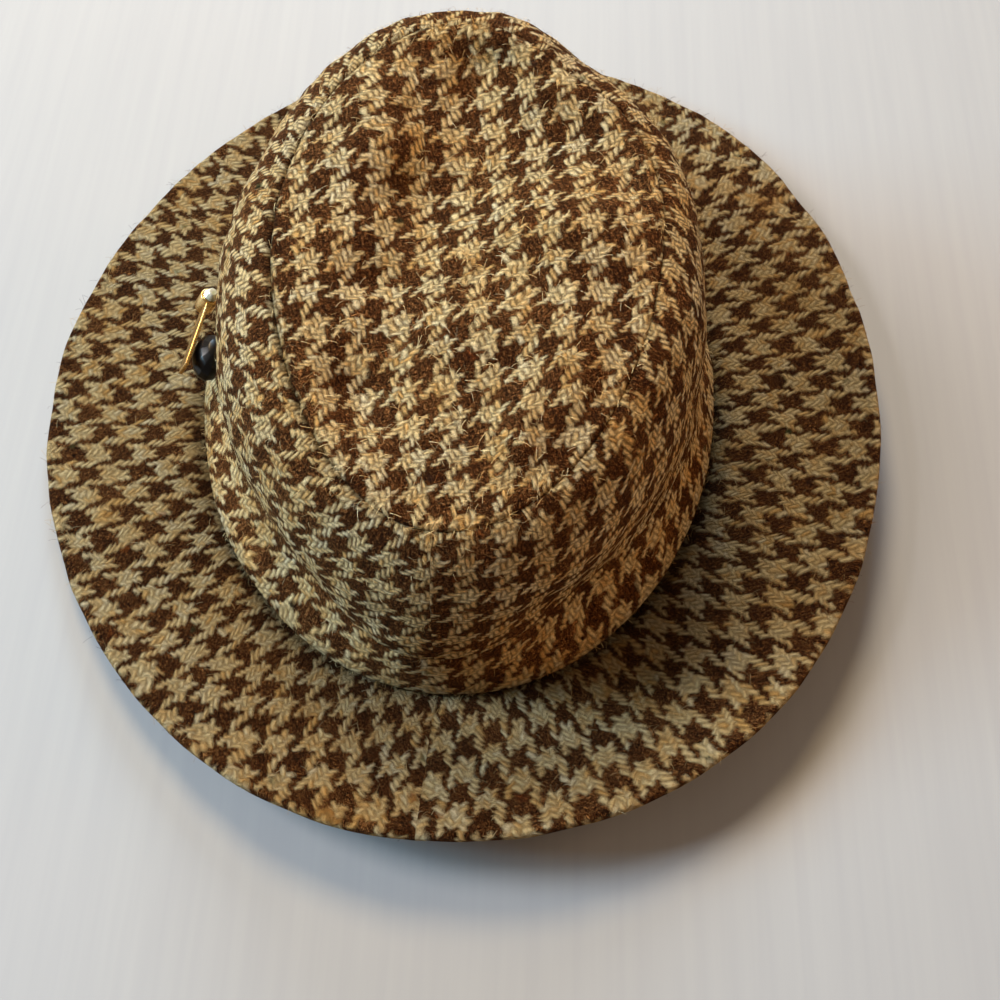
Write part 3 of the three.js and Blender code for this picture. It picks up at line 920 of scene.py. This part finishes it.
    # each yarn and each float has its own shade
    float_place = add(t, "VectorMath", {0: checks, 1: (2.0, 2.0, 0)}, operation="MULTIPLY")[0]
    float_place = add(t, "VectorMath", {0: float_place}, operation="FLOOR")[0]
    float_place = add(t, "VectorMath", {0: float_place, 1: (seed, seed, 0)}, operation="ADD")[0]
    yarn_shade = add(t, "TexWhiteNoise", {"W": number}, noise_dimensions="1D")["Value"]
    float_shade = add(t, "TexWhiteNoise", {"Vector": float_place, "W": number},
                      noise_dimensions="4D")["Value"]
    place = add(t, "TexCoord")["Object"]
    patch = add(t, "TexNoise", {"Vector": place, "Scale": 55.0, "Detail": 2.0})["Fac"]
    shade = add(t, "Math", {0: yarn_shade, 1: 0.25}, operation="MULTIPLY")[0]
    shade = add(t, "Math", {0: float_shade, 1: 0.3, 2: shade}, operation="MULTIPLY_ADD")[0]
    shade = add(t, "Math", {0: patch, 1: 0.7, 2: shade}, operation="MULTIPLY_ADD")[0]
    shade = add(t, "MapRange", {"Value": shade, 1: 0.25, 2: 1.1})[0]
    cream = add(t, "ValToRGB", {0: shade}, CREAM_DYE)[0]
    tuft = add(t, "Math", {0: shade, 1: 0.35}, operation="MULTIPLY")[0]
    tuft = add(t, "Math", {0: fluff, 1: 0.75, 2: tuft}, operation="MULTIPLY_ADD")[0]
    brown = add(t, "ValToRGB", {0: tuft}, BROWN_DYE)[0]
    wool = add(t, "Mix", {0: is_light, 6: brown, 7: cream}, data_type="RGBA")[2]

    # slubs: short tufts of another dye spun into the yarn
    slub = add(t, "TexVoronoi", {"Vector": spot, "Scale": 0.13}, voronoi_dimensions="2D")
    chosen = add(t, "SeparateColor", {0: slub["Color"]})
    near = add(t, "MapRange", {"Value": slub["Distance"], 1: 0.2, 2: 0.08})[0]
    rare = add(t, "Math", {0: chosen[0], 1: 0.92}, operation="GREATER_THAN")[0]
    slub_mask = add(t, "Math", {0: near, 1: rare}, operation="MULTIPLY")[0]
    slub_mask = add(t, "Math", {0: slub_mask, 1: fluff}, operation="MULTIPLY")[0]
    dye = add(t, "ValToRGB", {0: chosen[1]}, SLUB_DYES)[0]
    wool = add(t, "Mix", {0: slub_mask, 6: wool, 7: dye}, data_type="RGBA")[2]

    # painted shade between the yarns, painted light and shade along the twist of their plies,
    # and the hairs over them
    streak = add(t, "MapRange", {"Value": fluff, 3: mix(0.92, 0.68, crisp),
                                 4: mix(1.1, 1.25, crisp)})[0]
    twist = add(t, "MapRange", {"Value": ply, 1: -1.0, 3: mix(0.95, 0.84, crisp),
                                4: mix(1.02, 1.1, crisp)})[0]
    streak = add(t, "Math", {0: streak, 1: twist}, operation="MULTIPLY")[0]
    wool = add(t, "VectorMath", {0: wool, 3: streak}, operation="SCALE")[0]
    body = add(t, "MapRange", {"Value": grain, 1: 0.0, 2: 0.85, 3: mix(0.4, 0.0, crisp)})[0]
    body = add(t, "Math", {0: fluff, 1: 0.25, 2: body}, operation="MULTIPLY_ADD", use_clamp=True)[0]
    gloom = add(t, "Mix", {0: is_light, 6: linear("#0C0401"), 7: linear("#4E2E0A")},
                data_type="RGBA")[2]
    wool = add(t, "Mix", {0: body, 6: gloom, 7: wool}, data_type="RGBA")[2]
    loose = add(t, "Mix", {0: is_light, 6: linear("#A8683A"), 7: linear("#FFEDBE")},
                data_type="RGBA")[2]
    curls = add(t, "Math", {0: curls, 1: mix(0.3, 0.7, crisp)}, operation="MULTIPLY")[0]
    wool = add(t, "Mix", {0: curls, 6: wool, 7: loose}, data_type="RGBA")[2]
    # painted shade: darker in its creases, and by its tone, for shade that the lamps leave out
    crease = add(t, "Attribute", attribute_name="crease")["Fac"]
    painted_shade = add(t, "MapRange", {"Value": crease, 3: tone, 4: CREASE_TONE * tone})[0]
    wool = add(t, "VectorMath", {0: wool, 3: painted_shade}, operation="SCALE")[0]

    # the light yarn stands fuller than the dark one, and the warp fuller than the weft
    _, _, is_light, warp_up, grain, ply = lay(spot)
    full = add(t, "MapRange", {"Value": is_light, 3: 0.3, 4: 0.9})[0]
    full = add(t, "Math", {0: warp_up, 1: 0.1, 2: full}, operation="MULTIPLY_ADD")[0]
    height = add(t, "Math", {0: grain, 1: full}, operation="MULTIPLY")[0]
    height = add(t, "Math", {0: hair, 1: 0.75, 2: height}, operation="MULTIPLY_ADD")[0]
    height = add(t, "Math", {0: curls, 1: 0.2, 2: height}, operation="MULTIPLY_ADD")[0]
    height = add(t, "Math", {0: ply, 1: 0.1, 2: height}, operation="MULTIPLY_ADD")[0]
    relief = add(t, "Bump", {"Height": height, "Distance": mix(0.0003, 0.001, crisp),
                             "Strength": 1.0})[0]
    shader = add(t, "BsdfPrincipled", {
        "Base Color": wool, "Normal": relief, "Roughness": 0.95, "Specular IOR Level": 0.04,
        "Sheen Weight": 0.03, "Sheen Roughness": 0.5, "Sheen Tint": linear("#E8C48A")})[0]
    add(t, "OutputMaterial", {"Surface": shader})
    return material


def polished_brass():
    """Brass, stamped and polished: warm gold with soft, bright edges and faint rubbing marks."""
    material, t = new_material("polished_brass")
    place = add(t, "TexCoord")["Object"]
    marks = add(t, "TexNoise", {"Vector": place, "Scale": 900.0, "Detail": 3.0})["Fac"]
    rough = add(t, "MapRange", {"Value": marks, 3: 0.18, 4: 0.38})[0]
    relief = add(t, "Bump", {"Height": marks, "Distance": 0.0001, "Strength": 0.25})[0]
    shader = add(t, "BsdfPrincipled", {"Base Color": linear("#D6AE70"), "Metallic": 1.0,
                                       "Roughness": rough, "Normal": relief})[0]
    add(t, "OutputMaterial", {"Surface": shader})
    return material


def jet_glass():
    """Black glass, cut and fire-polished: almost black, with a soft, worn gloss."""
    material, t = new_material("jet_glass")
    place = add(t, "TexCoord")["Object"]
    marks = add(t, "TexNoise", {"Vector": place, "Scale": 400.0, "Detail": 2.0})["Fac"]
    rough = add(t, "MapRange", {"Value": marks, 3: 0.26, 4: 0.4})[0]
    shader = add(t, "BsdfPrincipled", {"Base Color": linear("#060506"), "Roughness": rough,
                                       "Specular IOR Level": 0.25, "IOR": 1.52})[0]
    add(t, "OutputMaterial", {"Surface": shader})
    return material


def foiled_crystal():
    """Clear glass, cut and foiled behind: facets that flash pale green-white."""
    material, t = new_material("foiled_crystal")
    place = add(t, "TexCoord")["Object"]
    marks = add(t, "TexNoise", {"Vector": place, "Scale": 700.0, "Detail": 1.0})["Fac"]
    tone = add(t, "ValToRGB", {0: marks}, [(0.3, "#C9CFAE"), (0.6, "#F4F3E6")])[0]
    shader = add(t, "BsdfPrincipled", {"Base Color": tone, "Metallic": 0.35, "Roughness": 0.08,
                                       "IOR": 1.55, "Coat Weight": 1.0, "Coat Roughness": 0.03})[0]
    add(t, "OutputMaterial", {"Surface": shader})
    return material


def painted_board():
    """A pale painted surface, brushed one way: matt, with very faint strokes."""
    material, t = new_material("painted_board")
    place = add(t, "TexCoord")["Object"]
    drawn = add(t, "Mapping", {"Vector": place, "Scale": (260.0, 9.0, 1.0)})[0]
    strokes = add(t, "TexNoise", {"Vector": drawn, "Scale": 1.0, "Detail": 3.0})["Fac"]
    tone = add(t, "ValToRGB", {0: strokes}, [(0.3, "#9B9DA1"), (0.7, "#9FA1A4")])[0]
    relief = add(t, "Bump", {"Height": strokes, "Distance": 0.0002, "Strength": 0.12})[0]
    shader = add(t, "BsdfPrincipled", {"Base Color": tone, "Roughness": 0.6, "Normal": relief,
                                       "Specular IOR Level": 0.3})[0]
    add(t, "OutputMaterial", {"Surface": shader})
    return material


# ---------- room ----------

FLOOR_SIZE = 30
FLOOR_DROP = 0.0002  # the floor lies this far below the hat, so that the two don't flicker
LAMP_AIM = Vector((0, 0, 0.05))
LAMP_AWAY = 2
LAMP_SIZE = 0.7
ROOM_COLOUR = "#FFEBD6"
ROOM_STRENGTH = 0.22

# soft round lamps: cool ones on the left and beyond the hat, warm ones beyond it and on the right
LAMPS = [
    {"around": 170, "up": 40, "watts": 33.3, "colour": "#FFF8F6"},
    {"around": 180, "up": 26, "watts": 37.6, "colour": "#B0E4FF"},
    {"around": 108, "up": 48, "watts": 35.9, "colour": "#FFDEAB"},
    {"around": 90, "up": 28, "watts": 28.2, "colour": "#CCE8FF"},
    {"around": 15, "up": 22, "watts": 9.4, "colour": "#FFD1A2"},
    {"around": 345, "up": 12, "watts": 7.7, "colour": "#FFB266"},
]


def set_room():
    floor = add_alone(bpy.ops.mesh.primitive_plane_add, size=FLOOR_SIZE,
                      location=(0, 0, -FLOOR_DROP))
    floor.name = "floor"
    settle(floor)
    floor.data.materials.append(painted_board())
    for lamp in LAMPS:
        around, up = math.radians(lamp["around"]), math.radians(lamp["up"])
        level = math.cos(up)
        way = Vector((math.cos(around) * level, math.sin(around) * level, math.sin(up)))
        bpy.ops.object.light_add(type="AREA", location=LAMP_AIM + way * LAMP_AWAY)
        light = bpy.context.object
        light.rotation_euler = way.to_track_quat("Z", "Y").to_euler()
        light.data.shape = "DISK"
        light.data.size = LAMP_SIZE
        light.data.energy = lamp["watts"]
        light.data.color = linear(lamp["colour"])[:3]
    world = bpy.data.worlds.new("room")
    world.use_nodes = True
    world.node_tree.nodes["Background"].inputs[0].default_value = linear(ROOM_COLOUR)
    world.node_tree.nodes["Background"].inputs[1].default_value = ROOM_STRENGTH
    bpy.context.scene.world = world
    bpy.context.scene.view_settings.view_transform = "Standard"


# ---------- assembly ----------

def dress(piece, material, node):
    piece.data.materials.clear()
    piece.data.materials.append(material)
    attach(piece, "root")
    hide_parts(node)


set_camera()
set_room()

# the brim's low tone and the band's are painted shade
brim_tweed = tweed("brim_tweed", 3, 0.08, crisp=0.3, nap=0.4, tone=0.39)
dress(make_brim(), brim_tweed, "brim")
crown_tweed = tweed("crown_tweed", 11, 0.16, nap=0.22)
dress(make_crown_side(), crown_tweed, "crown_side")
dress(make_crown_tip(), crown_tweed, "crown_tip")
band_tweed = tweed("band_tweed", 23, 0.15, crisp=0.6, nap=0.3, tone=0.85)
dress(make_band(), band_tweed, "hat_band")

pin = pin_frame()
dress(make_stone(pin), jet_glass(), "pin_stone")
dress(make_bar(pin), polished_brass(), "pin_bar")
dress(make_crystal(pin), foiled_crystal(), "pin_crystal")
